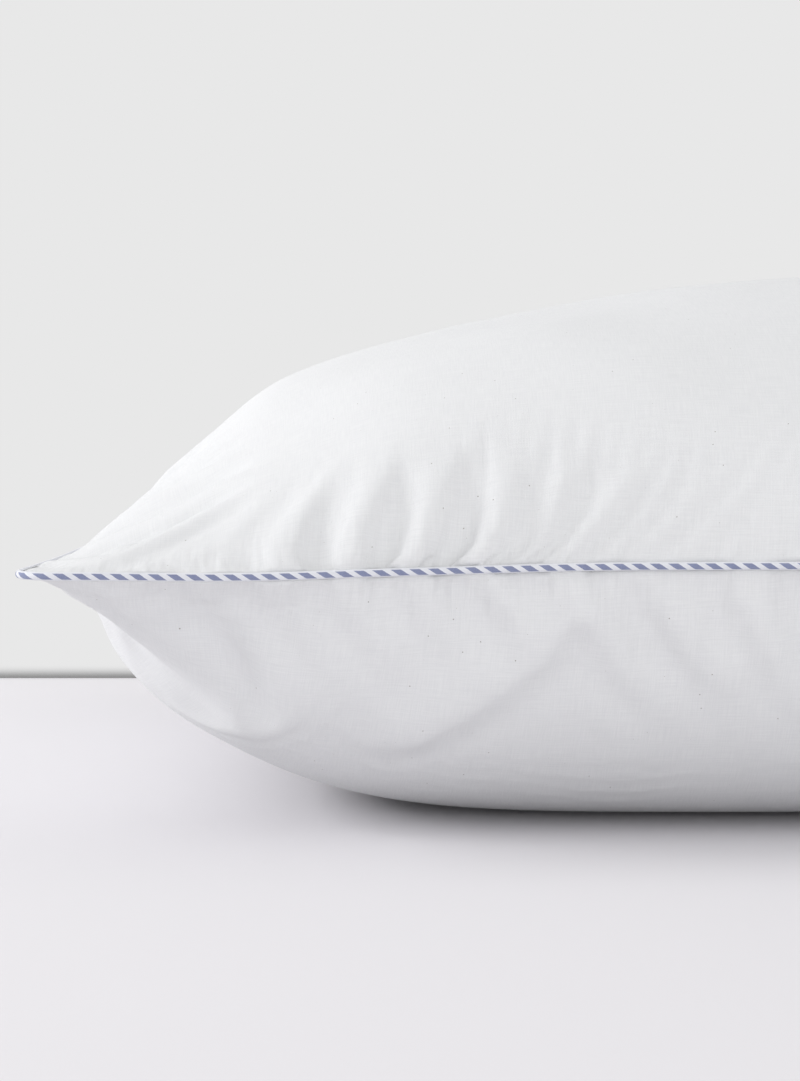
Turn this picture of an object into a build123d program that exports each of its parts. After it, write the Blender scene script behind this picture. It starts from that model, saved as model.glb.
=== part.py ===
from build123d import *
from math import asin, cos, degrees, pi
import os

# A bed pillow: two fabric panels sewn together all round over a piped seam, and a loose fill.
# +Z is up and +X runs along the long side. The origin is the middle of the flat patch that the
# pillow rests on. Fabric, thread and piping wall are drawn thicker than the cloth they stand for.

# The seam line, seen from above, before its corners are rounded
end_reach = 293.0  # middle of an end seam from the middle of the pillow
side_reach = 221.0  # middle of a side seam from the middle of the pillow
corner_x = 321.0
corner_y = 248.0
corner_radius = 10.0

# Heights
seam_height = 90.0  # above the surface that it rests on
crown_rise = 97.0  # crown above the seam
belly_drop = 110.0  # how far the underside would hang if nothing held it up

# How a level outline shrinks with height: a high number gives a flatter middle or a softer rim
middle_flatness = 3.7
rim_softness = 1.4
crown_level = 0.995  # the loft ends in a small level patch here
crown_rounding = 0.55  # corner radius of the last outlines, as a share of their half width
level_count = 10

# Layers in the seam
fabric = 1.0
corner_wall = 6.0  # the panels lie almost flat on each other at a corner, so their wall is wider there
flange = 0.8  # the piping strip's two layers
allowance = 11.0  # width of the turned-in edges
allowance_corner = 34.0  # their inner corner radius
clearance = 0.4

# Piping
piping_radius = 1.6
cord_radius = 1.0
cord_play = 0.05
piping_offset = 2.4  # middle of the cord, out from the seam line

# Threads
thread_radius = 0.35
stitch_line_inset = 5.0
stitch_line_corner = 20.0
overlock_width = 1.2
overlock_height = 3.6

# Closing stitches, along the middle of the +X end
closing_length = 160.0
closing_pitch = 3.2
closing_stitch = 2.4
closing_rise = 1.7  # above the lower edge of the top panel
closing_play = 0.1

# Fill
fill_rim_inset = 13.0  # clear of the turned-in edges
fill_rim_corner = 38.0
fill_corner_inset = 9.0
fill_seam_gap = 4.8
fill_corner_radius = 26.0

# Care label, blank, folded in two and caught in the middle of the +Y side seam
label_width = 40.0
label_drop = 42.0
label_neck = 0.6
label_fold = 1.2
label_tail = 8.0  # how far it runs in under the piping flange
label_stand_off = 0.15

top_base = seam_height + flange / 2
bottom_base = seam_height - flange / 2
floor_level = bottom_base / belly_drop
steps = [(1 - cos(pi * i / level_count)) / 2 for i in range(level_count + 1)]


def side_scale(level):
    """How much of its reach the middle of a side keeps at a level, 0 at the seam, 1 at the crown."""
    return (1 - level**rim_softness) ** (1 / middle_flatness)


def corner_scale(level):
    """The same for a corner, which falls away faster."""
    return (1 - level ** (rim_softness / 2)) ** (1 / middle_flatness)


def outline(z, level=0.0, inset=0.0, radius=corner_radius, corner_inset=0.0):
    """A level outline: four bowed sides with rounded corners, drawn in by inset."""
    end = end_reach * side_scale(level) - inset
    side = side_reach * side_scale(level) - inset
    x = corner_x * corner_scale(level) - inset - corner_inset
    y = corner_y * corner_scale(level) - inset - corner_inset
    with BuildSketch(Plane.XY.offset(z)) as sketch:
        with BuildLine():
            ThreePointArc((-x, -y), (0, -side), (x, -y))
            ThreePointArc((x, -y), (end, 0), (x, y))
            ThreePointArc((x, y), (0, side), (-x, y))
            ThreePointArc((-x, y), (-end, 0), (-x, -y))
        make_face()
        fillet(sketch.vertices(), radius * (1 - level) + crown_rounding * y * level)
    return sketch.sketch


def bulge(base, reach, last_level, inset=0.0, corner_inset=0.0):
    """The outlines of one half of the pillow, from the seam at base to its far face."""
    return [
        outline(base + reach * step, last_level * step, inset, corner_inset=corner_inset * (1 - step) ** 3)
        for step in steps
    ]


def stitch_line(z):
    """A closed line that follows the seam inside the panels."""
    line = outline(z, inset=stitch_line_inset, radius=stitch_line_corner, corner_inset=corner_wall)
    return line.face().outer_wire()


def cord_section(path, radius):
    """A round section that stands square on the start of a path."""
    with BuildSketch(Plane(origin=path @ 0, z_dir=path % 0)) as sketch:
        Circle(radius)
    return sketch.sketch


piping_outline = outline(seam_height, inset=-piping_offset, radius=corner_radius + piping_offset)
piping_path = piping_outline.face().outer_wire()
allowance_edge = outline(seam_height, inset=allowance, radius=allowance_corner)
overlock_edge = outline(seam_height, inset=allowance + overlock_width, radius=allowance_corner)

top_reach = crown_rise - flange / 2
with BuildPart() as top_panel:
    loft(bulge(top_base, top_reach, crown_level))
    loft(
        bulge(top_base + fabric, top_reach - 2 * fabric, crown_level, fabric, corner_wall),
        mode=Mode.SUBTRACT,
    )
    extrude(outline(top_base, inset=allowance, radius=allowance_corner), 2 * fabric, mode=Mode.SUBTRACT)

with BuildPart() as bottom_panel:
    loft(bulge(bottom_base, -bottom_base, floor_level))
    loft(
        bulge(bottom_base - fabric, 2 * fabric - bottom_base, floor_level, fabric, corner_wall),
        mode=Mode.SUBTRACT,
    )
    extrude(outline(bottom_base, inset=allowance, radius=allowance_corner), -2 * fabric, mode=Mode.SUBTRACT)
    # room for the care label's tail, between the turned-in edge and the piping
    with BuildSketch(Plane.XY.offset(bottom_base)):
        with Locations((0, side_reach - label_tail / 2)):
            Rectangle(label_width + clearance, label_tail + clearance)
    extrude(amount=-label_neck, mode=Mode.SUBTRACT)

with BuildPart() as piping_cover:
    sweep(cord_section(piping_path, piping_radius), path=piping_path)
    extrude(piping_outline, flange / 2, both=True)
    extrude(allowance_edge, flange, both=True, mode=Mode.SUBTRACT)
    sweep(cord_section(piping_path, cord_radius + cord_play), path=piping_path, mode=Mode.SUBTRACT)

with BuildPart() as piping_cord:
    sweep(cord_section(piping_path, cord_radius), path=piping_path)

# The lockstitch: needle thread on the upper turned-in edge, bobbin thread under the lower one
needle_path = stitch_line(top_base + fabric + thread_radius)
bobbin_path = stitch_line(bottom_base - fabric - thread_radius)
with BuildPart() as seam_thread:
    sweep(cord_section(needle_path, thread_radius), path=needle_path)
    sweep(cord_section(bobbin_path, thread_radius), path=bobbin_path)

with BuildPart() as overlock_thread:
    extrude(allowance_edge, overlock_height / 2, both=True)
    extrude(overlock_edge, overlock_height, both=True, mode=Mode.SUBTRACT)

fill_inset = fabric + clearance
with BuildPart() as fibre_fill:
    loft(bulge(seam_height, crown_rise - fill_inset, crown_level, fill_inset, corner_wall))
    loft(bulge(seam_height, fill_inset - seam_height, floor_level, fill_inset, corner_wall))
    extrude(
        outline(0, inset=fill_corner_inset, radius=fill_corner_radius),
        seam_height + crown_rise,
        mode=Mode.INTERSECT,
    )
    with BuildSketch(Plane.XY.offset(seam_height)):
        Rectangle(2 * corner_x, 2 * corner_y)
        add(outline(0, inset=fill_rim_inset, radius=fill_rim_corner), mode=Mode.SUBTRACT)
    extrude(amount=fill_seam_gap / 2, both=True, mode=Mode.SUBTRACT)

# The label's tail lies in the seam; the label drops from it between the panel and the piping
label_face = side_reach + label_stand_off
label_neck_end = seam_height - piping_radius - clearance
with BuildPart() as care_label:
    with BuildSketch(Plane.YZ.offset(-label_width / 2)):
        with BuildLine():
            Polyline(
                (side_reach - label_tail, bottom_base),
                (label_face + label_neck, bottom_base),
                (label_face + label_neck, label_neck_end),
                (label_face + label_fold, label_neck_end - label_fold),
                (label_face + label_fold, bottom_base - label_drop),
                (label_face, bottom_base - label_drop),
                (label_face, bottom_base - label_neck),
                (side_reach - label_tail, bottom_base - label_neck),
                close=True,
            )
        make_face()
    extrude(amount=label_width)

# Closing stitches lie on the top panel, along the arc of the end seam
end_arc_radius = (corner_y**2 + (corner_x - end_reach) ** 2) / (2 * (corner_x - end_reach))
end_arc_centre = end_reach + end_arc_radius
closing_level = closing_rise / crown_rise
closing_reach = end_reach * side_scale(closing_level) + thread_radius + closing_play
closing_count = round(closing_length / closing_pitch)
with BuildPart() as closing_thread:
    for i in range(closing_count):
        along = (i - (closing_count - 1) / 2) * closing_pitch
        turn = asin(along / end_arc_radius)
        x = closing_reach + end_arc_radius * (1 - cos(turn))
        with Locations(Location((x, along, top_base + closing_rise), (90, 0, degrees(turn)))):
            Cylinder(thread_radius, closing_stitch)

top_panel.part.label = "top_panel"
bottom_panel.part.label = "bottom_panel"
piping_cover.part.label = "piping_cover"
piping_cord.part.label = "piping_cord"
seam_thread.part.label = "seam_thread"
overlock_thread.part.label = "overlock_thread"
fibre_fill.part.label = "fibre_fill"
care_label.part.label = "care_label"
closing_thread.part.label = "closing_thread"

os.makedirs("parts", exist_ok=True)
export_step(top_panel.part, "parts/top_panel.step")
export_step(bottom_panel.part, "parts/bottom_panel.step")
export_step(piping_cover.part, "parts/piping_cover.step")
export_step(piping_cord.part, "parts/piping_cord.step")
export_step(seam_thread.part, "parts/seam_thread.step")
export_step(overlock_thread.part, "parts/overlock_thread.step")
export_step(fibre_fill.part, "parts/fibre_fill.step")
export_step(care_label.part, "parts/care_label.step")
export_step(closing_thread.part, "parts/closing_thread.step")
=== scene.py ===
import math

import bpy
import numpy as np
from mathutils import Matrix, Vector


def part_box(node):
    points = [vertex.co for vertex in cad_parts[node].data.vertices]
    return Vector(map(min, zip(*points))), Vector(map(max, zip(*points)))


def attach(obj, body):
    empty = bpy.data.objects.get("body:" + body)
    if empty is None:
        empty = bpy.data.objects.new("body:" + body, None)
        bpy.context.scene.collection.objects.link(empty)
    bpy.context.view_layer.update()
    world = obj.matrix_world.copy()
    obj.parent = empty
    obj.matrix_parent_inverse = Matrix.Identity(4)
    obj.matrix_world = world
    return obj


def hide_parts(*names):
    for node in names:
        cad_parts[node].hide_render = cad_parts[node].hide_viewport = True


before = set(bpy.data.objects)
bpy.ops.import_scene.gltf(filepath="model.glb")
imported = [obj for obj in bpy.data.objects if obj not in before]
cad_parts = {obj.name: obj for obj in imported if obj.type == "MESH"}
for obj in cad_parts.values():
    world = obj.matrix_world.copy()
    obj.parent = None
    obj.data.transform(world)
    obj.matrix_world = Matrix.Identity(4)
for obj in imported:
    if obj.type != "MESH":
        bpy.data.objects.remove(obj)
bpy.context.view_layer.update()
print("frame loaded")

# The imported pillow's seam and corners, which the cloth is fitted to
seamLow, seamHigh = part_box("piping_cover")
seamHeight = (seamLow[2] + seamHigh[2]) / 2 + 0.002
cornerX, cornerY = seamHigh[0], seamHigh[1]

rng = np.random.default_rng(3)
every = slice(None)


# ---- camera ----

camera = {
    "reach": 1.16,  # from the middle of the front
    "rise": 3.5,  # degrees above level
    "frameHeight": 0.3473,  # how much of the front the picture's height takes in
    "fromCorner": 0.1218,  # the picture's middle, in from the left corner
    "aim": 0.0101,  # above the seam
    "frontIn": 0.0092,  # how far the front bows in from the corners
}


def addCamera(c):
    data = bpy.data.cameras.new("camera")
    data.sensor_width = 36
    data.lens = data.sensor_width * c["reach"] / c["frameHeight"]
    rise = math.radians(c["rise"])
    obj = bpy.data.objects.new("camera", data)
    obj.location = (
        -cornerX + c["fromCorner"],
        -cornerY + c["frontIn"] - c["reach"] * math.cos(rise),
        seamHeight + c["aim"] + c["reach"] * math.sin(rise),
    )
    obj.rotation_euler = (math.pi / 2 - rise, 0, 0)
    bpy.context.scene.collection.objects.link(obj)
    bpy.context.scene.camera = obj


addCamera(camera)


# ---- cloth: two panels sewn together, filled and left to wrinkle ----

# An array of points holds both panels as [axis, panel, row, column]. Panel 0 is the top one. Rows run
# along Y and columns along X. The two panels share their outermost points, which lie along the seam.

cut = {
    "width": 0.682,  # of each panel between its seams, flat
    "depth": 0.528,
    "waist": (0.04, 0.022),  # how much narrower the cut is halfway along its ends and its sides
    "bottomLength": 1.07,  # the bottom panel gives under the pillow's weight
}

filling = {
    "loft": 0.245,  # free thickness of the fibre in the middle
    "flatness": 3.2,  # how far the full thickness reaches towards the seam
    "rounding": 0.7,
    "push": 8.0,  # of the fibre when it is pressed thinner
    "centre": 400.0,  # how firmly the fibre keeps to the middle of the casing
    "seamHold": 0.3,
    "seamEase": 0.07,  # how much shorter the seam is than the cloth sewn into it
    "drag": 0.97,
    "smoothing": 40,
    "sag": 0.035,  # how far the fibre's own weight lowers its middle below the seam
    "ears": 1.1,  # how much less fibre the corners hold
    "earReach": 0.11,
    "seamRise": 0.003,  # how far the middle of each seam lies above the corners
}

folds = {
    "bend": (0.5, 1.0),  # stiffness of the top and the bottom panel
    "fineBend": (0.1, 1.0),
    "shear": 0.6,  # how firmly the weave resists being pulled askew,
    "shearSlack": 0.3,  # and pushed askew
    "hold": 0.01,  # of the fibre under the cloth
    "seamHold": 0.8,
    "settle": 0.9,  # share of its speed that the cloth keeps
    "startDepth": 0.002,  # of the unevenness that starts the folds
    "startSize": 0.014,
    "gathered": (1.5, 0.5),  # share of the spare cloth that shows in each panel
    "gatherReach": (0.06, 0.035),  # how far in from the seam
    "lumps": (0.0018, 0.0006),  # height of the fibre's lumps under each panel
    "lumpSize": 0.060,
    "flatBelow": 0.05,  # the floor irons the cloth flat below this height
    "lean": 0.0025,  # how far the top panel was fed along the seam
    "slip": 0.0012,  # unevenness of the feed
    "slipSize": 0.05,
    "slack": 0.8,  # unevenness of the spare cloth
    "slackSize": 0.026,
    # Places along the front with more spare cloth, and how much more
    "bunches": ((-0.261, 0.5), (-0.2237, 1.2), (-0.196, 0.4), (-0.169, 1.2), (-0.135, 0.7)),
    "smooth": (-0.092, 0.036, 0.9),  # a place with less: where, how wide and how much less
    "smoothCorner": 0.075,
    "smoothBelow": 0.7,  # how much less there is under the left of the front
}

settled = {
    "full": 0.085,  # how much higher the crown's shoulders are than the inflated shape's
    "fullAt": 0.135,
    "fullReach": 0.11,
    "slimEnd": 0.35,  # how much lower the pillow is close to its ends
    "slimEndFrom": 0.245,
    "slimEndReach": 0.06,
    "slimCorner": (0.35, 0.30),  # how much flatter each panel is at the corners,
    "slimCornerReach": 0.05,
    "plumpCorner": (0.0, 0.58),  # and how much fuller a little further in
    "plumpAt": 0.079,
    "plumpReach": 0.035,
    "backDroop": 0.006,  # how far the back corners hang,
    "backDraw": 0.006,  # and how far they draw inwards
    "droopReach": 0.06,
    "spread": 0.13,  # how far the bottom is pressed outwards by the floor
}

steps = {"inflate": 500, "settle": 250, "fold": 150, "crease": 90}

kinds = ("x", "y", "rising", "falling")


# Links between neighbours as (first points, second points, kind), in sets that share no point
def links(columns, rows):
    x, y = columns + 1, rows + 1
    sides, braces = [], []
    for o in (0, 1):
        a, b = slice(o, x - 1, 2), slice(o + 1, x, 2)
        sides.append(((every, every, every, a), (every, every, every, b), "x"))
        a, b = slice(o, y - 1, 2), slice(o + 1, y, 2)
        sides.append(((every, every, a, every), (every, every, b, every), "y"))
    for o in (0, 1):
        a, b = slice(o, y - 1, 2), slice(o + 1, y, 2)
        left, right = slice(0, x - 1), slice(1, x)
        sides.append(((every, every, a, left), (every, every, b, right), "rising"))
        sides.append(((every, every, a, right), (every, every, b, left), "falling"))
    for span in (2, 4):
        for o in range(2 * span):
            a, b = slice(o, x - span, 2 * span), slice(o + span, x, 2 * span)
            braces.append(((every, every, every, a), (every, every, every, b), "x", span))
            a, b = slice(o, y - span, 2 * span), slice(o + span, y, 2 * span)
            braces.append(((every, every, a, every), (every, every, b, every), "y", span))
    return sides, braces


# Moves linked points towards their proper distance: pull when they are too far apart, push when too near
def adjust(points, first, second, rest, pull, push):
    a, b = points[first], points[second]
    d = b - a
    length = np.sqrt(d[0] * d[0] + d[1] * d[1] + d[2] * d[2]) + 1e-9
    off = length - rest
    d *= np.where(off > 0, pull, push) * 0.5 * off / length
    a += d
    b -= d


def seamParts(points):
    return points[:, :, 0], points[:, :, -1], points[:, :, :, 0], points[:, :, :, -1]


def joinSeam(points):
    for edge in seamParts(points):
        middle = (edge[:, 0] + edge[:, 1]) / 2
        edge[:, 0] = middle
        edge[:, 1] = middle


# Outward normals, as long as the area that each point stands for
def outward(points):
    n = np.cross(np.gradient(points, axis=3), np.gradient(points, axis=2), axis=0).astype(np.float32)
    n[:, 1] *= -1
    return n


def unit(vectors):
    return vectors / (np.sqrt((vectors * vectors).sum(0)) + 1e-12)


def resample(points, columns, rows):
    def along(p, axis, count):
        p = np.moveaxis(p, axis, -1)
        last = p.shape[-1] - 1
        t = np.linspace(0, last, count + 1)
        i = np.minimum(t.astype(int), last - 1)
        f = (t - i).astype(np.float32)
        p0, p1, p2, p3 = (p[..., np.clip(i + k, 0, last)] for k in (-1, 0, 1, 2))
        p0 = np.where(i < 1, 2 * p1 - p2, p0)
        p3 = np.where(i + 2 > last, 2 * p2 - p1, p3)
        curve = 2 * p0 - 5 * p1 + 4 * p2 - p3 + f * (3 * (p1 - p2) + p3 - p0)
        return np.moveaxis(p1 + 0.5 * f * (p2 - p0 + f * curve), -1, axis)

    return np.ascontiguousarray(along(along(points, 3, columns), 2, rows)).astype(np.float32)


# Smooth random heights with a spread of 1, over rows × columns points
def softNoise(shape, cells):
    grid = rng.normal(size=(cells[0] + 4, cells[1] + 4))

    def weights(count, cellCount):
        t = np.linspace(1, cellCount + 1, count)
        i = t.astype(int)
        f = t - i
        w = ((1 - f) ** 3, 3 * f**3 - 6 * f**2 + 4, -3 * f**3 + 3 * f**2 + 3 * f + 1, f**3)
        return i, w

    iy, wy = weights(shape[0], cells[0])
    ix, wx = weights(shape[1], cells[1])
    total = sum(
        wy[a][:, None] * wx[b][None] * grid[(iy - 1 + a)[:, None], (ix - 1 + b)[None]]
        for a in range(4)
        for b in range(4)
    )
    return (total / total.std()).astype(np.float32)


def clothNoise(shape, size):
    cells = (max(2, int(cut["depth"] / size)), max(2, int(cut["width"] / size)))
    return softNoise(shape, cells)


# Where each point lies on the flat cut, from -1 to 1, and how far it is from the seam
def flatPlaces(columns, rows):
    u, v = np.meshgrid(np.linspace(-1, 1, columns + 1), np.linspace(-1, 1, rows + 1))
    fromSeam = np.minimum((1 - abs(u)) * cut["width"] / 2, (1 - abs(v)) * cut["depth"] / 2)
    return u, v, fromSeam


# The flat distance to the nearest corner
def cornerDistance(u, v):
    return np.hypot((1 - abs(u)) * cut["width"] / 2, (1 - abs(v)) * cut["depth"] / 2)


# The flat distance from each point to the next, for both panels
def cutLengths(columns, rows):
    u, v, _ = flatPlaces(columns, rows)
    panels = np.array([1, cut["bottomLength"]]).reshape(2, 1, 1)
    x = cut["width"] / columns * (1 - cut["waist"][0] * (1 - v * v)) * panels
    y = cut["depth"] / rows * (1 - cut["waist"][1] * (1 - u * u)) * panels
    across = np.hypot(x, y)
    return {kind: a.astype(np.float32) for kind, a in zip(kinds, (x, y, across, across))}


# The seam is shorter than the cloth sewn into it
def easeSeam(points, dx, dy):
    for edge, d in zip(seamParts(points), (dx, dx, dy, dy)):
        rest = d * (1 - filling["seamEase"])
        for o in (0, 1):
            b = edge[:, :, o + 1 :: 2]
            a = edge[:, :, o:-1:2][:, :, : b.shape[2]]
            step = b - a
            length = np.sqrt((step * step).sum(0)) + 1e-9
            step *= 0.5 * (length - rest) / length
            a += step
            b -= step
        edge[:, :, 1:-1] += 0.3 * ((edge[:, :, :-2] + edge[:, :, 2:]) / 2 - edge[:, :, 1:-1])


# The fibre pushes the panels apart until they are taut, and the pillow settles on the floor
def inflate(columns, rows, points, count, dt):
    f = filling
    dx, dy = cut["width"] / columns, cut["depth"] / rows
    u, v, _ = flatPlaces(columns, rows)
    if points is None:
        points = np.zeros((3, 2, rows + 1, columns + 1), np.float32)
        rise = np.sqrt((1 - u**4) * (1 - v**4)) * seamHeight
        points[0] = u * cornerX * 0.97
        points[1] = v * cornerY * 0.95
        points[2] = seamHeight + np.stack([rise, -rise])
    shape = np.clip((1 - abs(u) ** f["flatness"]) * (1 - abs(v) ** f["flatness"]), 0, 1)
    fromCorner = cornerDistance(u, v)
    corner = 1 - f["ears"] * np.exp(-((fromCorner / f["earReach"]) ** 2))
    free = (f["loft"] * shape ** f["rounding"] * corner).astype(np.float32)
    middle = (seamHeight - f["sag"] * shape).astype(np.float32)
    sides, braces = links(columns, rows)
    lift = f["seamRise"] * (np.clip((fromCorner - 0.09) / 0.10, 0, 1) - 0.5)
    seamGoal = np.broadcast_to(seamHeight + lift, (1, 2) + u.shape)
    rest = cutLengths(columns, rows)
    pull = dict(zip(kinds, (1.0, 1.0, 0.5, 0.5)))
    speed = np.zeros_like(points)
    for _ in range(count):
        gap = points[:, 0] - points[:, 1]
        thickness = np.sqrt((gap * gap).sum(0)) + 1e-4
        push = f["push"] * np.clip((free / thickness) ** 2 - 1, -0.3, 6)
        force = outward(points) * (push * 4 / (dx * dy))
        force[2] -= f["centre"] * ((points[2, 0] + points[2, 1]) / 2 - middle)
        speed = (speed + force * dt) * f["drag"]
        before = points.copy()
        points += speed * dt
        for _ in range(4):
            for a, b, kind in sides:
                adjust(points, a, b, rest[kind][a[1:]], pull[kind], 0.05)
            for a, b, kind, span in braces:
                if span == 2:
                    adjust(points, a, b, 2 * rest[kind][a[1:]], 0.0, 0.02)
            joinSeam(points)
            easeSeam(points, dx, dy)
        for edge, goal in zip(seamParts(points), seamParts(seamGoal)):
            edge[2] += (goal[0] - edge[2]) * f["seamHold"]
        low = points[2] < 0
        points[2] = np.maximum(points[2], 0)
        for axis in (0, 1):
            points[axis] = np.where(low, before[axis] + (points[axis] - before[axis]) * 0.8, points[axis])
        speed = (points - before) / dt
        speed *= np.minimum(1, 1 / (np.sqrt((speed * speed).sum(0)) + 1e-9))
    return points


# The shape once it has been patted down: full shoulders, slim ends and corners, and a broad base
def settle(points, columns, rows):
    d = settled
    u, v, _ = flatPlaces(columns, rows)
    fromCorner = cornerDistance(u, v)
    across = abs(points[0])
    full = d["full"] * np.exp(-((np.maximum(across - d["fullAt"], 0) / d["fullReach"]) ** 2))
    end = np.clip((across - d["slimEndFrom"]) / d["slimEndReach"], 0, 1)
    near = np.exp(-((fromCorner / d["slimCornerReach"]) ** 2))
    plump = np.exp(-(((fromCorner - d["plumpAt"]) / d["plumpReach"]) ** 2))
    slimCorner, plumpCorner = (np.array(d[key]).reshape(2, 1, 1) for key in ("slimCorner", "plumpCorner"))
    slim = 1 - slimCorner * near + plumpCorner * plump
    height = points[2] - seamHeight
    low = np.clip(-height[1] / seamHeight, 0, 1)
    points[1, 1] *= 1 + d["spread"] * low * low
    height *= slim
    height[0] *= (1 + full - d["slimEnd"] * end * end * (3 - 2 * end))[0]
    points[2] = seamHeight + height
    droop = np.exp(-((fromCorner / d["droopReach"]) ** 2)) * (v > 0)
    points[2] -= d["backDroop"] * droop
    points[0] -= np.sign(u) * d["backDraw"] * droop
    points[2] = np.maximum(points[2], 0)
    return points


# Long soft ridges, each from one place to another on the bottom panel: along X, and in from the front seam
softRidges = (
    {"start": (-0.128, 0.004), "end": (-0.192, 0.072), "height": 0.0035, "widths": (0.015, 0.007)},
    {"start": (-0.258, 0.010), "end": (-0.230, 0.045), "height": 0.0018, "widths": (0.010, 0.008)},
    {"start": (-0.285, 0.012), "end": (-0.240, 0.080), "height": 0.0020, "widths": (0.010, 0.010)},
    {"start": (-0.114, 0.002), "end": (-0.120, 0.026), "height": 0.0012, "widths": (0.006, 0.004)},
    {"start": (-0.100, 0.002), "end": (-0.108, 0.030), "height": 0.0015, "widths": (0.006, 0.004)},
    {"start": (-0.078, 0.002), "end": (-0.090, 0.032), "height": 0.0014, "widths": (0.007, 0.004)},
)


def addRidges(points, columns, rows):
    u, v, fromSeam = flatPlaces(columns, rows)
    x, y = u * cornerX, (1 + v) * cut["depth"] / 2
    n = unit(outward(points))[:, 1]
    for d in softRidges:
        start, end = np.array(d["start"]), np.array(d["end"])
        along, length = end - start, math.dist(start, end)
        ahead = ((x - start[0]) * along[0] + (y - start[1]) * along[1]) / length
        aside = ((x - start[0]) * along[1] - (y - start[1]) * along[0]) / length
        width = np.where(aside > 0, *reversed(d["widths"]))
        fade = np.clip(np.minimum(ahead, length - ahead) / 0.02 + 0.5, 0, 1)
        shape = np.exp(-((aside / width) ** 2)) * fade * np.clip(fromSeam / 0.008, 0, 1)
        points[:, 1] += n * d["height"] * shape
    points[2] = np.maximum(points[2], 0)


def smoothed(points, count):
    points = points.copy()
    for _ in range(count):
        p = points
        around = p[:, :, :-2, 1:-1] + p[:, :, 2:, 1:-1] + p[:, :, 1:-1, :-2] + p[:, :, 1:-1, 2:]
        points[:, :, 1:-1, 1:-1] += 0.5 * (around / 4 - p[:, :, 1:-1, 1:-1])
    return points


# The seam as one closed line of points, from the front left corner round by the right
def seamLine(points):
    p = points[:, 0]
    return np.concatenate([p[:, 0, :-1], p[:, :-1, -1], p[:, -1, :0:-1], p[:, :0:-1, 0]], axis=1)


def setSeamLine(points, line):
    rows, columns = points.shape[2] - 1, points.shape[3] - 1
    for panel in (0, 1):
        p = points[:, panel]
        p[:, 0, :-1] = line[:, :columns]
        p[:, :-1, -1] = line[:, columns : columns + rows]
        p[:, -1, :0:-1] = line[:, columns + rows : 2 * columns + rows]
        p[:, :0:-1, 0] = line[:, 2 * columns + rows :]


def smoothLoop(line, count):
    for _ in range(count):
        line = line + 0.5 * ((np.roll(line, 1, 1) + np.roll(line, -1, 1)) / 2 - line)
    return line


# Lumps in the fibre, and cloth fed unevenly and a little sideways into the seam
def disturb(points, columns, rows):
    f = folds
    u, v, fromSeam = flatPlaces(columns, rows)
    shape = (rows + 1, columns + 1)
    n = unit(outward(points))
    inside = np.clip(fromSeam / 0.03, 0, 1)
    for panel in (0, 1):
        lumps = 0.7 * clothNoise(shape, f["lumpSize"]) + 0.3 * clothNoise(shape, f["lumpSize"] / 2)
        lifted = np.clip(points[2, panel] / f["flatBelow"], 0, 1) ** 2
        points[:, panel] += n[:, panel] * (lumps * lifted * f["lumps"][panel] * inside)
    for k, edge in enumerate(seamParts(points)):
        count = edge.shape[-1]
        along = unit(np.gradient(edge, axis=-1))
        fade = np.sin(np.linspace(0, math.pi, count)) ** 0.5
        cells = int((cut["width"], cut["width"], cut["depth"], cut["depth"])[k] / f["slipSize"])
        edge += along * (softNoise((2, count), (1, cells))[0] * f["slip"] * fade)
    joinSeam(points)
    fed = 1 - np.exp(-fromSeam / 0.05)
    points[0, 0] += f["lean"] * fed * np.clip((1 - abs(u)) * 5, 0, 1) * np.clip(-v * 2, -1, 1)
    points[2] = np.maximum(points[2], 0)
    return points


# Where the spare cloth is bunched and where it is smooth
def unevenSlack(columns, rows):
    f = folds
    u, v, _ = flatPlaces(columns, rows)
    slack = 1 + f["slack"] * np.stack([clothNoise(u.shape, f["slackSize"]) for _ in (0, 1)])
    along = u * cornerX
    for place, more in f["bunches"]:
        slack[0] += more * np.exp(-(((along - place) / 0.008) ** 2)) * (v < 0)
    slack[1] *= 1 - f["smoothBelow"] * (along < -0.14) * (v < 0)
    place, width, less = f["smooth"]
    slack[0] *= 1 - less * np.exp(-(((along - place) / width) ** 2)) * (v < 0)
    return np.clip(slack, 0.05, 2.5).astype(np.float32)


# The cloth fits the shape under it, except that near a seam it is as long along the seam as it was cut
def foldLengths(base, columns, rows, slack):
    f = folds
    u, v, _ = flatPlaces(columns, rows)
    whole = cutLengths(columns, rows)
    fromCorner = cornerDistance(u, v)
    share = np.array(f["gathered"]).reshape(2, 1, 1)
    share = share * (1 - np.exp(-((fromCorner / f["smoothCorner"]) ** 2)))
    reach = np.array(f["gatherReach"]).reshape(2, 1, 1)
    fromSide = (1 - abs(v)) * cut["depth"] / 2 / reach
    fromEnd = (1 - abs(u)) * cut["width"] / 2 / reach
    dx = np.diff(base, axis=3, append=2 * base[:, :, :, -1:] - base[:, :, :, -2:-1])
    dy = np.diff(base, axis=2, append=2 * base[:, :, -1:] - base[:, :, -2:-1])
    x, y, skew = np.sqrt((dx * dx).sum(0)), np.sqrt((dy * dy).sum(0)), (dx * dy).sum(0)
    moreX = np.maximum(whole["x"] / x - 1, 0) * share * slack * np.exp(-(fromSide**2))
    moreY = np.maximum(whole["y"] / y - 1, 0) * share * slack * np.exp(-(fromEnd**2))
    x, y, skew = x * (1 + moreX), y * (1 + moreY), skew * (1 + moreX) * (1 + moreY)
    rising, falling = np.sqrt(x * x + y * y + 2 * skew), np.sqrt(x * x + y * y - 2 * skew)
    falling = np.roll(falling, 1, 2)
    return {kind: a.astype(np.float32) for kind, a in zip(kinds, (x, y, rising, falling))}


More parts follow.
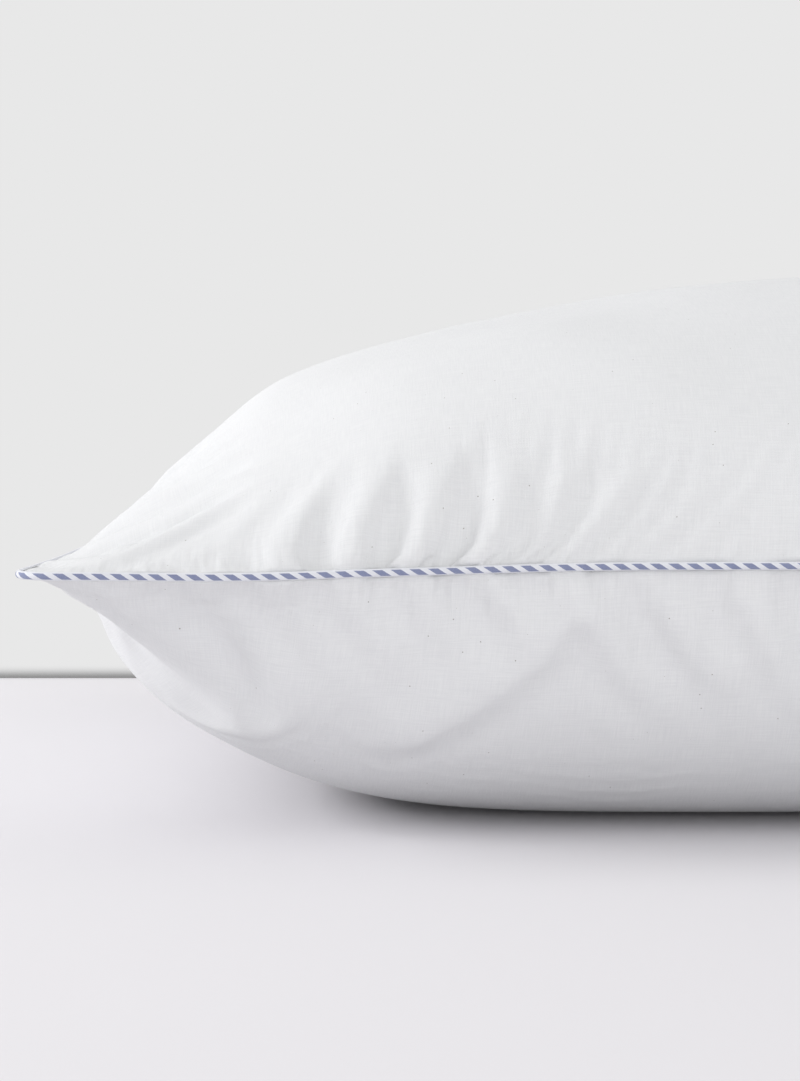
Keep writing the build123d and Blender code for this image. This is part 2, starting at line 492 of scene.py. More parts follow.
# Cloth that is too long for the filled shape under it folds
def fold(points, rest, base, columns, rows, count, depth, bend, slack):
    f = folds
    sides, braces = links(columns, rows)
    shape = (rows + 1, columns + 1)
    start = np.stack([clothNoise(shape, f["startSize"]) for _ in (0, 1)])
    start[1] *= np.clip(base[2, 1] / f["flatBelow"], 0, 1) ** 2
    points = points + unit(outward(points)) * start * depth
    length = foldLengths(base, columns, rows, slack)
    u, v, _ = flatPlaces(columns, rows)
    fromCorner = cornerDistance(u, v)
    firm = np.exp(-((fromCorner / f["smoothCorner"]) ** 2))
    stiff = np.array(bend).reshape(2, 1, 1)
    stiff = (stiff + (1 - stiff) * firm).astype(np.float32)
    speed = np.zeros_like(points)
    for _ in range(count):
        before = points.copy()
        points += speed
        points += (rest - points) * f["hold"]
        for a, b, kind in sides:
            straight = kind in "xy"
            pull, push = (1.0, 1.0) if straight else (f["shear"], f["shearSlack"])
            adjust(points, a, b, length[kind][a[1:]], pull, push)
        for a, b, kind, span in braces:
            adjust(points, a, b, span * length[kind][a[1:]], 0.0, stiff[a[1:]])
        joinSeam(points)
        for edge, goal in zip(seamParts(points), seamParts(rest)):
            edge += (goal - edge) * f["seamHold"]
        points[2] = np.maximum(points[2], 0)
        speed = (points - before) * f["settle"]
    return points


def makeCloth():
    points = inflate(44, 34, None, steps["inflate"], 1 / 600)
    points = inflate(66, 51, resample(points, 66, 51), steps["settle"], 1 / 900)
    points = smoothed(resample(points, 132, 102), filling["smoothing"])
    points = settle(points, 132, 102)
    addRidges(points, 132, 102)
    setSeamLine(points, smoothLoop(seamLine(points), 6))
    print("pillow filled:", [round(float(x), 4) for x in points.reshape(3, -1).max(1)])
    base = points.copy()
    held = disturb(points, 132, 102)
    slack = unevenSlack(132, 102)
    points = fold(held, held, base, 132, 102, steps["fold"], folds["startDepth"], folds["bend"], slack)
    fine = (240, 186)
    slack = resample(slack[None], *fine)[0]
    base, held, points = (resample(p, *fine) for p in (base, held, points))
    depth = folds["startDepth"] * 0.3
    return fold(points, held, base, *fine, steps["crease"], depth, folds["fineBend"], slack)


cloth = makeCloth()
clothRows, clothColumns = cloth.shape[2] - 1, cloth.shape[3] - 1
print("cloth folded")


# ---- pieces ----

tape = {
    "radius": 0.00137,  # of the piping
    "offset": 0.00115,  # how far its middle is outside the seam
    "flange": 0.009,
    "flangeThickness": 0.0005,
    "stripePitch": 0.0060,
    "sides": 14,
}

panelMake = {
    "thickness": 0.0004,
    "allowance": 0.011,
    "turn": 0.0009,  # how far a panel's edge is from the middle of the seam
    "rings": 4,
}


def addMesh(name, points, faces, spot=None):
    mesh = bpy.data.meshes.new(name)
    mesh.from_pydata(points.tolist(), [], faces if isinstance(faces, list) else faces.tolist())
    if spot is not None:
        layer = mesh.uv_layers.new(name="cloth")
        corner = np.zeros(len(mesh.loops), np.int32)
        mesh.loops.foreach_get("vertex_index", corner)
        values = spot[corner] if len(spot) == len(points) else spot
        layer.data.foreach_set("uv", values.astype(np.float32).ravel())
    mesh.polygons.foreach_set("use_smooth", np.ones(len(mesh.polygons), bool))
    mesh.update()
    obj = bpy.data.objects.new(name, mesh)
    bpy.context.scene.collection.objects.link(obj)
    return obj


# Quads between the rows of a rows × columns block of points that starts at first
def blockFaces(rows, columns, first=0, closed=False):
    r, c = np.meshgrid(np.arange(rows - 1), np.arange(columns if closed else columns - 1), indexing="ij")
    a = first + r * columns + c
    b = first + r * columns + (c + 1) % columns
    return np.stack([a, b, b + columns, a + columns], -1).reshape(-1, 4)


# The indices of a grid's outermost points, counter-clockwise from the front left
def rimIndices(rows, columns):
    k = np.arange((rows + 1) * (columns + 1)).reshape(rows + 1, columns + 1)
    return np.concatenate([k[0, :-1], k[:-1, -1], k[-1, :0:-1], k[:0:-1, 0]])


# The seam as a closed, evenly spaced line with its outward direction
def seamPath(spacing, smoothing=3):
    line = smoothLoop(seamLine(cloth), smoothing)
    closed = np.concatenate([line, line[:, :1]], 1)
    length = np.concatenate([[0], np.cumsum(np.sqrt((np.diff(closed, axis=1) ** 2).sum(0)))])
    count = int(length[-1] / spacing)
    at = np.linspace(0, length[-1], count, endpoint=False)
    place = np.interp(at, length, np.arange(len(length)))
    path = np.stack([np.interp(at, length, closed[axis]) for axis in range(3)])
    path = smoothLoop(path, 12)
    along = unit(np.roll(path, -1, 1) - np.roll(path, 1, 1))
    out = unit(np.stack([along[1], -along[0], np.zeros(count)]))
    up = np.cross(out, along, axis=0)
    found = {"path": path, "out": out, "up": up, "place": place}
    return found | {"length": float(length[-1]), "count": count}


# Points between the two panels, depth in from the seam at each place along it
def betweenPanels(place, depth):
    middle = (cloth[:, 0] + cloth[:, 1]) / 2
    row, column = np.divmod(rimIndices(clothRows, clothColumns), clothColumns + 1)
    reach = depth * clothColumns / cut["width"]
    keep = 0.03 * depth / panelMake["allowance"]  # leaves the turned-in rows a little apart at the corners
    innerRow = np.clip(row, reach, clothRows - reach)
    innerColumn = np.clip(column, reach, clothColumns - reach)
    innerRow = innerRow + (row - innerRow) * keep
    innerColumn = innerColumn + (column - innerColumn) * keep
    ring = sampleGrid(middle, innerRow, innerColumn)
    ring = np.concatenate([ring, ring[:1]])
    k = np.arange(len(ring))
    return np.stack([np.interp(place, k, ring[:, axis]) for axis in range(3)])


# A closed ring of cross-sections, points[ring, corner, xyz]. spot is each corner's place round the section
def ringMesh(name, points, spot=None):
    rings, sides = points.shape[:2]
    i, j = np.meshgrid(np.arange(rings), np.arange(sides), indexing="ij")
    k, m = (i + 1) % rings, (j + 1) % sides
    faces = np.stack([i * sides + j, k * sides + j, k * sides + m, i * sides + m], -1).reshape(-1, 4)
    loops = None
    if spot is not None:
        along = np.linspace(0, 1, rings + 1)
        corners = ((i, j), (i + 1, j), (i + 1, j + 1), (i, j + 1))
        loops = np.stack([np.stack([along[a], spot[b]], -1) for a, b in corners], 2).reshape(-1, 2)
    return addMesh(name, points.reshape(-1, 3), faces, loops)


# One panel: the outer cloth, then its seam allowance turned in between the two panels
def makePanel(name, panel):
    side = 1 - 2 * panel
    u, v, fromSeam = flatPlaces(clothColumns, clothRows)
    skin = cloth[:, panel].copy()
    skin[2] += side * panelMake["turn"] * np.exp(-((fromSeam / 0.004) ** 2))
    rim = rimIndices(clothRows, clothColumns)
    points = [skin.reshape(3, -1).T]
    spots = [np.stack([(u + 1) / 2 * cut["width"], (v + 1) / 2 * cut["depth"]], -1).reshape(-1, 2)]
    for ring in range(1, panelMake["rings"] + 1):
        depth = ring / panelMake["rings"] * panelMake["allowance"]
        points.append(betweenPanels(np.arange(len(rim)), depth).T + [0, 0, side * 0.00065])
        spots.append(spots[0][rim] + (spots[0][rim] - [cut["width"] / 2, cut["depth"] / 2]) * depth)
    points, spots = np.concatenate(points), np.concatenate(spots)
    faces = [blockFaces(clothRows + 1, clothColumns + 1)]
    count, first = len(rim), (clothRows + 1) * (clothColumns + 1)
    outer = rim
    for ring in range(panelMake["rings"]):
        inner = first + ring * count + np.arange(count)
        faces.append(np.stack([outer, inner, np.roll(inner, -1), np.roll(outer, -1)], -1))
        outer = inner
    faces = np.concatenate(faces)
    if panel == 1:
        faces = faces[:, ::-1]
    obj = addMesh(name, points, faces, spots)
    solid = obj.modifiers.new("cloth", "SOLIDIFY")
    solid.thickness = panelMake["thickness"]
    solid.offset = -1
    return applied(obj)


def sampleGrid(grid, row, column):
    r, c = np.floor(row).astype(int), np.floor(column).astype(int)
    r, c = np.minimum(r, grid.shape[1] - 2), np.minimum(c, grid.shape[2] - 2)
    y, x = row - r, column - c
    top = grid[:, r, c] * (1 - x) + grid[:, r, c + 1] * x
    low = grid[:, r + 1, c] * (1 - x) + grid[:, r + 1, c + 1] * x
    return (top * (1 - y) + low * y).T


def applied(obj):
    graph = bpy.context.evaluated_depsgraph_get()
    mesh = bpy.data.meshes.new_from_object(obj.evaluated_get(graph))
    obj.modifiers.clear()
    obj.data = mesh
    return obj


def dress(obj, material, slotName, *nodes):
    obj.data.materials.clear()
    obj.data.materials.append(material)
    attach(obj, "root")
    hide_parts(*nodes)
    return obj


# ---- materials ----

# A value in a shader, so that shader maths reads as ordinary maths
class Value:
    def __init__(self, shader, socket):
        self.shader, self.socket = shader, socket

    def __add__(self, other):
        return self.shader.maths("ADD", self, other)

    def __sub__(self, other):
        return self.shader.maths("SUBTRACT", self, other)

    def __rsub__(self, other):
        return self.shader.maths("SUBTRACT", other, self)

    def __mul__(self, other):
        return self.shader.maths("MULTIPLY", self, other)

    def __gt__(self, other):
        return self.shader.maths("GREATER_THAN", self, other)

    def __lt__(self, other):
        return self.shader.maths("LESS_THAN", self, other)

    __radd__ = __add__
    __rmul__ = __mul__

    def other(self, name):
        return Value(self.shader, self.socket.node.outputs[name])


class Shader:
    def __init__(self, name, settings):
        self.material = bpy.data.materials.new(name)
        self.material.use_nodes = True
        self.tree = self.material.node_tree
        self.tree.nodes.clear()
        self.surface = self.node("ShaderNodeBsdfPrincipled", {}, settings, "BSDF")
        self.node("ShaderNodeOutputMaterial", {}, {"Surface": self.surface}, None)

    def node(self, kind, settings, inputs, output=0):
        made = self.tree.nodes.new(kind)
        for key, value in settings.items():
            setattr(made, key, value)
        for key, value in inputs.items():
            self.feed(made.inputs[key], value)
        return None if output is None else Value(self, made.outputs[output])

    def feed(self, socket, value):
        if isinstance(value, Value):
            self.tree.links.new(value.socket, socket)
        else:
            socket.default_value = value

    def set(self, name, value):
        self.feed(self.surface.socket.node.inputs[name], value)

    def maths(self, operation, *values):
        return self.node("ShaderNodeMath", {"operation": operation}, dict(enumerate(values)))

    def ramp(self, value, low, high, bottom=0.0, top=1.0):
        inputs = {"Value": value, "From Min": low, "From Max": high, "To Min": bottom, "To Max": top}
        return self.node("ShaderNodeMapRange", {"interpolation_type": "SMOOTHSTEP"}, inputs)

    def spot(self):
        uv = self.node("ShaderNodeUVMap", {"uv_map": "cloth"}, {}, "UV")
        split = self.node("ShaderNodeSeparateXYZ", {}, {"Vector": uv}, "X")
        return split, split.other("Y")

    def vector(self, x, y, z=0.0):
        return self.node("ShaderNodeCombineXYZ", {}, {"X": x, "Y": y, "Z": z})

    def noise(self, vector, scale=1.0, detail=2.0, roughness=0.5):
        inputs = {"Vector": vector, "Scale": scale, "Detail": detail, "Roughness": roughness}
        return self.node("ShaderNodeTexNoise", {}, inputs)

    def mix(self, factor, a, b):
        inputs = {0: factor, 6: a, 7: b}
        return self.node("ShaderNodeMix", {"data_type": "RGBA"}, inputs, 2)

    def bump(self, height, distance, strength=1.0):
        inputs = {"Height": height, "Distance": distance, "Strength": strength}
        self.set("Normal", self.node("ShaderNodeBump", {}, inputs, "Normal"))


def grey(value, tint=(0, 0, 0)):
    return tuple(value + t for t in tint) + (1.0,)


cambric = {
    "colour": (0.79, 0.795, 0.805, 1.0),
    "shade": (0.735, 0.74, 0.755, 1.0),
    "speck": (0.35, 0.33, 0.31, 1.0),  # bits of husk left in the cotton
    "speckRarity": 0.885,
    "thread": 0.00042,  # the weave's pitch
    "relief": 0.00006,
    "crumpleRelief": 0.00015,
    "gather": 0.0052,  # pitch of the small gathers at the seam
    "gatherRelief": 0.0018,
}


def cambricMaterial():
    c = cambric
    finish = {"Roughness": 0.85, "Sheen Weight": 0.15, "Sheen Roughness": 0.5, "Specular IOR Level": 0.25}
    s = Shader("cambric", finish)
    x, y = s.spot()
    pi2 = 2 * math.pi / c["thread"]
    warp, weft = s.maths("SINE", x * pi2), s.maths("SINE", y * pi2)
    weave = warp * weft
    slubWarp = s.noise(s.vector(x * (1 / c["thread"]), y * 90))
    slubWeft = s.noise(s.vector(x * 90, y * (1 / c["thread"])))
    sideways = s.maths("MINIMUM", x, cut["width"] - x)
    lengthways = s.maths("MINIMUM", y, cut["depth"] - y)
    fromSeam = s.maths("MINIMUM", sideways, lengthways)
    atEnd = sideways < lengthways
    along = x + (y - x) * atEnd
    nearSeam = s.ramp(fromSeam, 0.0, 0.030, 1.0, 0.0)
    gathers = s.noise(s.vector(along * (1 / c["gather"]), fromSeam * 40), 1.0, 1.0)
    crumple = s.noise(s.vector(x * 60, y * 60), 1.0, 3.0)
    height = weave * 0.5 + (slubWarp + slubWeft) * 0.9
    height = height + gathers * nearSeam * (c["gatherRelief"] / c["relief"])
    height = height + crumple * (c["crumpleRelief"] / c["relief"])
    s.bump(height, c["relief"])
    tone = s.ramp(slubWarp * 0.5 + slubWeft * 0.5, 0.3, 0.7)
    colour = s.mix(tone, c["shade"], c["colour"])
    speck = s.noise(s.vector(x * 900, y * 900), 1.0, 0.0)
    s.set("Base Color", s.mix(speck > c["speckRarity"], colour, c["speck"]))
    return s.material


tapeColours = {
    "blue": (0.215, 0.245, 0.40, 1.0),
    "white": (0.80, 0.81, 0.86, 1.0),
    "markHalf": 0.145,  # half the height of a blue mark, as a share of the way round the piping
}


def tapeMaterial(stripes):
    s = Shader("striped_tape", {"Roughness": 0.8, "Sheen Weight": 0.2, "Specular IOR Level": 0.3})
    x, y = s.spot()
    phase = s.maths("FRACT", x * stripes + y * 2)
    wave = s.maths("ABSOLUTE", phase - 0.5)
    fray = s.noise(s.vector(x * stripes * 9, y * 14), 1.0, 2.0) * 0.06
    blue = s.ramp(wave + fray, 0.235, 0.27)
    edge = tapeColours["markHalf"]
    blue = blue * s.ramp(s.maths("ABSOLUTE", y + fray * 0.3), edge, edge - 0.03)
    threads = s.maths("SINE", (x * stripes + y) * (2 * math.pi * 14))
    cross = s.maths("SINE", (x * stripes - y) * (2 * math.pi * 14))
    fleck = s.noise(s.vector(x * stripes * 20, y * 40), 1.0, 2.0)
    colour = s.mix(blue, tapeColours["white"], tapeColours["blue"])
    s.set("Base Color", s.mix(s.ramp(fleck, 0.35, 0.9) * 0.25, colour, tapeColours["white"]))
    s.bump(threads * cross * 0.5 + fleck, 0.00008)
    return s.material


def yarnMaterial(name, colour, pitch, roughness=0.7):
    s = Shader(name, {"Roughness": roughness, "Sheen Weight": 0.3, "Specular IOR Level": 0.35})
    place = s.node("ShaderNodeTexCoord", {}, {}, "Object")
    split = s.node("ShaderNodeSeparateXYZ", {}, {"Vector": place}, "X")
    twist = s.maths("SINE", (split + split.other("Y") + split.other("Z")) * (2 * math.pi / pitch))
    hair = s.noise(place, 1 / pitch, 3.0)
    s.bump(twist * 0.6 + hair, pitch * 0.2)
    s.set("Base Color", s.mix(s.ramp(hair, 0.2, 0.8), tuple(0.86 * x for x in colour[:3]) + (1.0,), colour))
    return s.material


def fibreMaterial():
    s = Shader("fibre", {"Roughness": 0.95, "Sheen Weight": 0.4, "Specular IOR Level": 0.2})
    place = s.node("ShaderNodeTexCoord", {}, {}, "Object")
    bend = s.noise(place, 25.0, 2.0)
    split = s.node("ShaderNodeSeparateXYZ", {}, {"Vector": place}, "X")
    y, z = split.other("Y"), split.other("Z")
    strands = s.noise(s.vector(split * 700 + bend * 40, y * 90, z * 500), 1.0, 3.0)
    tufts = s.noise(place, 60.0, 3.0)
    s.bump(strands + tufts * 3, 0.0006)
    s.set("Base Color", s.mix(strands * 0.5 + tufts * 0.5, grey(0.78), grey(0.92)))
    return s.material


def satinMaterial():
    s = Shader("label_satin", {"Roughness": 0.45, "Sheen Weight": 0.2, "Specular IOR Level": 0.5})
    x, y = s.spot()
    across = s.maths("SINE", x * (2 * math.pi / 0.0005))
    floats = across * s.maths("SINE", (y + x * 0.35) * (2 * math.pi / 0.0011))
    streak = s.noise(s.vector(x * 2200, y * 120), 1.0, 2.0)
    edge = s.maths("MINIMUM", x, label["width"] - x)
    selvedge = s.ramp(edge, 0.0012, 0.0018, 1.0, 0.0)
    s.bump(floats * 0.5 + streak + selvedge * 2, 0.00006)
    s.set("Base Color", s.mix(streak, grey(0.80), grey(0.90, (0, -0.005, -0.02))))
    s.set("Roughness", 0.38 + streak * 0.2 + selvedge * 0.15)
    return s.material


cambricCloth = cambricMaterial()
topPanel = dress(makePanel("top_cloth", 0), cambricCloth, "cambric", "top_panel")
bottomPanel = dress(makePanel("bottom_cloth", 1), cambricCloth, "cambric", "bottom_panel")
print("panels made")


# Piping: striped tape round a cord, with its flange sewn between the panels
def makePiping(seam):
    t = tape
    flangeHalf = t["flangeThickness"] / 2
    start = math.asin(flangeHalf / t["radius"])
    angle = np.linspace(math.pi - start, -math.pi + start, t["sides"])
    turn = np.concatenate([angle, [-math.pi] * 3]) / (2 * math.pi)
    ring = np.cos(angle)[:, None] * seam["out"].T[:, None] + np.sin(angle)[:, None] * seam["up"].T[:, None]
    points = seam["centre"].T[:, None] + t["radius"] * ring
    inner = betweenPanels(seam["place"], t["flange"]).T[:, None]
    tail = inner + np.array([-flangeHalf, flangeHalf])[:, None] * np.array([0, 0, 1])
    return ringMesh("piping", np.concatenate([points, tail], 1), turn)


seam = seamPath(0.0011)
seam["centre"] = seam["path"] + seam["out"] * tape["offset"]
stripes = round(seam["length"] / tape["stripePitch"])
dress(makePiping(seam), tapeMaterial(stripes), "striped_bias_tape", "piping_cover")


cord = {
    "radius": 0.00082,
    "strands": 3,
    "strandDepth": 0.14,  # how deep the grooves between the strands are
    "lay": 0.012,  # length of one twist
    "sides": 12,
}


# The cord inside the piping, its strands twisted together
def makeFillerCord(seam):
    d = cord
    turn = np.linspace(0, 2 * math.pi, d["sides"], endpoint=False)
    twist = np.linspace(0, 2 * math.pi * round(seam["length"] / d["lay"]), seam["count"], endpoint=False)
    radius = d["radius"] * (1 + d["strandDepth"] * np.cos(d["strands"] * (turn[None] - twist[:, None])))
    section = np.cos(turn)[:, None] * seam["out"].T[:, None] + np.sin(turn)[:, None] * seam["up"].T[:, None]
    return ringMesh("filler_cord", seam["centre"].T[:, None] + radius[..., None] * section)


cordMaterial = yarnMaterial("cotton_cord", (0.80, 0.78, 0.72, 1.0), 0.0009)
dress(makeFillerCord(seam), cordMaterial, "filler_cord", "piping_cord")


# Short lengths of thread, each along its own few points. runs is [run, point, xyz]
def threadMesh(name, runs, radius, sides=5):
    runs = np.asarray(runs, float)
    count, steps = runs.shape[:2]
    along = np.gradient(runs, axis=1)
    along /= np.linalg.norm(along, axis=2, keepdims=True) + 1e-12
    aside = np.cross(along, [0.13, 0.21, 0.97])
    aside /= np.linalg.norm(aside, axis=2, keepdims=True) + 1e-12
    over = np.cross(aside, along)
    turn = np.linspace(0, 2 * math.pi, sides, endpoint=False)
    thickness = np.sqrt(np.clip(1 - np.linspace(-1, 1, steps) ** 8, 0.15, 1)) * radius
    ring = aside[:, :, None] * np.cos(turn)[:, None] + over[:, :, None] * np.sin(turn)[:, None]
    points = runs[:, :, None] + ring * thickness[:, None, None]
    faces = []
    body = blockFaces(steps, sides, closed=True)[:, ::-1]
    caps = [list(range(sides)), list(range(steps * sides - 1, (steps - 1) * sides - 1, -1))]
    for k in range(count):
        faces += (body + k * steps * sides).tolist()
        faces += [[i + k * steps * sides for i in cap] for cap in caps]
    return addMesh(name, points.reshape(-1, 3), faces)


sewing = {
    "pitch": 0.003,
    "inset": 0.005,  # from the seam's edge to the line of stitches
    "radius": 0.00018,
    "rise": (-0.0006, 0.0008, 0.0011, 0.0011, 0.0008, -0.0006),  # of one stitch, through all the layers
    "overlockPitch": 0.0032,
    "overlockReach": 0.0022,
    "overlockRise": 0.0012,
    "overlockInset": 0.002,  # from the raw edge
}


# Lockstitches along the seam, through the allowances and the piping's flange
def makeSeamStitches():
    seam = seamPath(sewing["pitch"] / 6)
    line = betweenPanels(seam["place"], sewing["inset"]).T
    height = np.array(sewing["rise"])
    each = (6 * np.arange(seam["count"] // 6)[:, None] + np.arange(6)) % seam["count"]
    return threadMesh("seam_stitches", line[each] + height[:, None] * [0, 0, 1], sewing["radius"])


threadMaterial = yarnMaterial("sewing_thread", (0.86, 0.87, 0.88, 1.0), 0.0004, 0.55)
dress(makeSeamStitches(), threadMaterial, "sewing_thread", "seam_thread")


# Overlocking round the raw edge of the allowances
def makeOverlock():
    seam = seamPath(sewing["overlockPitch"] / 8)
    turn = np.linspace(0, 2 * math.pi, 9)
    each = (8 * np.arange(seam["count"] // 8)[:, None] + np.arange(9)) % seam["count"]
    centre = betweenPanels(seam["place"], panelMake["allowance"] - sewing["overlockInset"]).T[each]
    inward = np.cos(turn)[:, None] * sewing["overlockReach"] * -seam["out"].T[each]
    loops = centre + inward + np.sin(turn)[:, None] * [0, 0, sewing["overlockRise"]]
    return threadMesh("overlock", loops, sewing["radius"])


dress(makeOverlock(), threadMaterial, "sewing_thread", "overlock_thread")
print("piping and threads made")


fibre = {
    "clearance": 0.0062,  # from the casing
    "tuft": 0.0012,
    "tuftSize": 0.012,
    "slope": 0.03,  # how far in from the seam it reaches its full clearance
    "fromSeam": 0.015,
}


# Loose fibre, a tufted body a little smaller than its casing
def makeFill():
    d = fibre
    inner = smoothed(cloth, 6)[:, :, ::2, ::2] if clothColumns > 200 else smoothed(cloth, 4)
    n = unit(outward(inner))
    rows, columns = inner.shape[2] - 1, inner.shape[3] - 1
    fromSeam = flatPlaces(columns, rows)[2]
    middle = (inner[:, 0] + inner[:, 1]) / 2
    shrink = np.clip(fromSeam / d["slope"], 0, 1)
    points = []
    for panel in (0, 1):
        tuft = np.clip(clothNoise(fromSeam.shape, d["tuftSize"]), -1.5, 1.5) * d["tuft"]
        body = inner[:, panel] - n[:, panel] * (d["clearance"] + tuft * shrink)
        points.append(middle + (body - middle) * shrink)
    cell = cut["width"] / columns
    skip = int(math.ceil(d["fromSeam"] / cell))
    part = [p[:, skip:-skip, skip:-skip].copy() for p in points]
    for row, column in ((0, every), (-1, every), (every, 0), (every, -1)):
        joined = (part[0][:, row, column] + part[1][:, row, column]) / 2
        part[0][:, row, column] = joined
        part[1][:, row, column] = joined
    r, c = part[0].shape[1] - 1, part[0].shape[2] - 1
    top = part[0].reshape(3, -1).T
    rim = rimIndices(r, c)
    keep = np.setdiff1d(np.arange(len(top)), rim)
    place = np.zeros(len(top), int)
    place[rim] = rim
    place[keep] = len(top) + np.arange(len(keep))
    low = part[1].reshape(3, -1).T[keep]
    faces = blockFaces(r + 1, c + 1)
    faces = np.concatenate([faces, place[faces][:, ::-1]])
    return addMesh("fibre_body", np.concatenate([top, low]), faces)


fibreBody = dress(makeFill(), fibreMaterial(), "fibre_fill", "fibre_fill")


label = {
    "width": 0.040,
    "drop": 0.042,
    "tail": 0.008,
    "thickness": 0.0004,
    "foldRadius": 0.0011,
    "clearPiping": 0.0036,  # how far it stands off to pass outside the piping
}


# Folded satin tape caught in the middle of the back seam, hanging against the bottom panel
def makeLabel():
    d = label
    rows, columns = clothRows, clothColumns
    back = seamLine(cloth)[:, columns + rows : 2 * columns + rows]
    span = np.linspace(-d["width"] / 2, d["width"] / 2, 17)
    order = np.argsort(back[0])
    seamY = np.interp(span, back[0][order], back[1][order])
    seamZ = np.interp(span, back[0][order], back[2][order])
    hang = np.linspace(0, d["drop"], 30)
    drop = hang * 0.97
    lean = 0.16 * hang + 0.0035 * np.sin(hang / d["drop"] * math.pi)
    outer = np.stack([-lean * 0.35 + d["foldRadius"] * 2, -drop], -1)
    turn = np.linspace(0, math.pi, 8)[1:-1]
    foot = outer[-1] - [d["foldRadius"], 0]
    arc = np.stack([foot[0] + np.cos(turn) * d["foldRadius"], foot[1] - np.sin(turn) * d["foldRadius"]], -1)
    inner = np.stack([outer[::-1, 0] - 2 * d["foldRadius"], outer[::-1, 1]], -1)
    neck = np.array([[-d["tail"], 0.0003], [-d["tail"] / 2, 0.0003], [-0.0005, 0.0002]])
    line = np.concatenate([neck, outer, arc, inner[:-1], neck[::-1] * [1, -1]])
    run = np.concatenate([[0], np.cumsum(np.sqrt((np.diff(line, axis=0) ** 2).sum(1)))])
    curl = 0.0022 * (span / (d["width"] / 2)) ** 2
    points = []
    for away, z in line:
        fade = min(1.0, max(0.0, -z / d["drop"]))
        wave = 0.0008 * np.sin(span * 130 + 1.2) * fade
        clear = d["clearPiping"] * min(1, max(0, -z / 0.003))
        points.append(np.stack([span, seamY + clear + away + (curl + wave) * fade, seamZ + z], -1))
    points = np.array(points)
    spot = np.stack([np.tile(span + d["width"] / 2, len(line)), np.repeat(run, len(span))], -1)
    obj = addMesh("care_tape", points.reshape(-1, 3), blockFaces(len(line), len(span)), spot)
    solid = obj.modifiers.new("tape", "SOLIDIFY")
    solid.thickness = d["thickness"]
    solid.offset = 0
    return applied(obj), float(run[-1])


careLabel, labelLength = makeLabel()
dress(careLabel, satinMaterial(), "label_satin", "care_label")

closing = {
    "length": 0.160,
    "pitch": 0.0032,
    "stitch": 0.0024,
    "fromSeam": 0.0035,
    "thread": 0.00022,
    "rise": (-0.0003, 0.00025, 0.00035, 0.00035, 0.00025, -0.0003),  # of one stitch over the cloth
}


# The filling hole at one end, closed by topstitching
def makeClosing():
    d = closing
    count, bends = int(d["length"] / d["pitch"]), len(d["rise"])
    runs = []
    for k in range(count):
        middle = (k - (count - 1) / 2) * d["pitch"]
        at = middle + np.linspace(-0.5, 0.5, bends) * d["stitch"]
        row = (at / cut["depth"] + 0.5) * clothRows
        column = np.full(bends, clothColumns * (1 - d["fromSeam"] / cut["width"]))
        p = sampleGrid(cloth[:, 0], row, column)
        p[:, 2] += panelMake["turn"] + np.array(d["rise"])
        runs.append(p)
    return threadMesh("closing_stitches", runs, d["thread"], 6)


dress(makeClosing(), threadMaterial, "sewing_thread", "closing_thread")
print("fill, label and closing made")


# ---- stage ----

stage = {
    "floor": (0.79, 0.775, 0.80, 1.0),
    "backEdge": 0.340,  # where the floor stops behind the pillow
    "front": -1.5,
    "reach": 1.6,  # to either side
    "paintedShadowHeight": 0.0075,  # of the painted shadow strip standing behind it
    # Colour of the painted shadow strip: a dark grey standing for shade
    "paintedShadowColour": (0.12, 0.12, 0.12, 1.0),
    "air": (0.807, 0.807, 0.807),
    "airStrength": 1.0,
    "keyPower": 24.0,
    "fillPower": 18.0,
    "fillSize": 1.4,
    "fillPlace": (0.3, -2.2, 0.0),
    "rimPower": 3.0,
    "rimSize": 0.8,
    "rimPlace": (-1.6, 0.7, 0.25),
    "keySize": 0.8,
    "keyPlace": (-2.2, 0.0, 1.0),
}


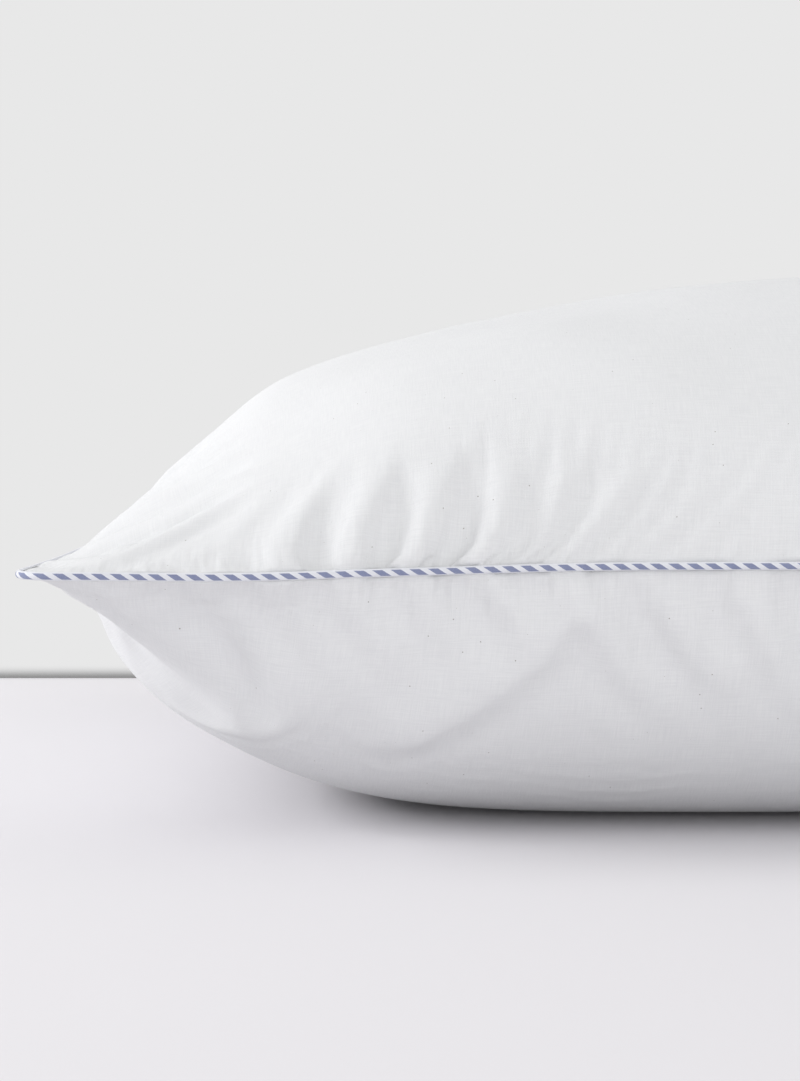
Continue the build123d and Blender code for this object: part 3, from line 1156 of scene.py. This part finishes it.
def addStage(d):
    s = Shader("floor_paint", {"Roughness": 0.7, "Specular IOR Level": 0.2})
    place = s.node("ShaderNodeTexCoord", {}, {}, "Object")
    cloud = s.noise(place, 3.0, 3.0)
    grain = s.noise(place, 900.0, 2.0)
    dim = tuple(0.985 * x for x in d["floor"][:3]) + (1.0,)
    s.set("Base Color", s.mix(cloud, dim, d["floor"]))
    s.bump(grain, 0.00003)
    x, front, back = d["reach"], d["front"], d["backEdge"]
    corners = np.array([[-x, front, 0], [x, front, 0], [x, back, 0], [-x, back, 0]], float)
    floor = addMesh("floor", corners, [[0, 1, 2, 3]])
    floor.data.materials.append(s.material)
    # A strip of painted shadow along the floor's back edge
    addPaintedWallShadow(d, x)


# A dark, see-through strip standing along the floor's back edge: painted shadow, darkest at the floor and
# fading upwards, in place of the shade at the foot of a wall
def addPaintedWallShadow(d, reach):
    s = Shader("painted_wall_shadow", {"Roughness": 0.9, "Specular IOR Level": 0.0, "Base Color": d["paintedShadowColour"]})
    place = s.node("ShaderNodeTexCoord", {}, {}, "Object")
    up = s.node("ShaderNodeSeparateXYZ", {}, {"Vector": place}, "Z")
    # The painted shadow is most opaque at the floor and fades out upwards
    s.set("Alpha", s.maths("POWER", s.ramp(up, 0.0, d["paintedShadowHeight"], 1.0, 0.0), 1.8) * 0.75)
    back, height = d["backEdge"], d["paintedShadowHeight"]
    corners = [[-reach, back, 0], [reach, back, 0], [reach, back, height], [-reach, back, height]]
    shadowStrip = addMesh("painted_shadow_strip", np.array(corners, float), [[0, 1, 2, 3]])
    shadowStrip.data.materials.append(s.material)


def addLight(name, place, goal, power, size, colour=(1, 1, 1)):
    data = bpy.data.lights.new(name, "AREA")
    data.energy, data.size, data.color = power, size, colour
    obj = bpy.data.objects.new(name, data)
    obj.location = place
    way = np.array(goal, float) - np.array(place, float)
    flat = math.hypot(way[0], way[1])
    obj.rotation_euler = (math.atan2(flat, -way[2]), 0, math.atan2(way[1], way[0]) - math.pi / 2)
    bpy.context.scene.collection.objects.link(obj)


addStage(stage)
for lamp in ("key", "fill", "rim"):
    addLight(lamp, stage[lamp + "Place"], (-0.15, -0.1, 0.08), stage[lamp + "Power"], stage[lamp + "Size"])

world = bpy.data.worlds.new("air")
world.use_nodes = True
background = next(n for n in world.node_tree.nodes if n.type == "BACKGROUND")
background.inputs["Color"].default_value = stage["air"] + (1.0,)
background.inputs["Strength"].default_value = stage["airStrength"]
bpy.context.scene.world = world
bpy.context.scene.view_settings.view_transform = "Standard"
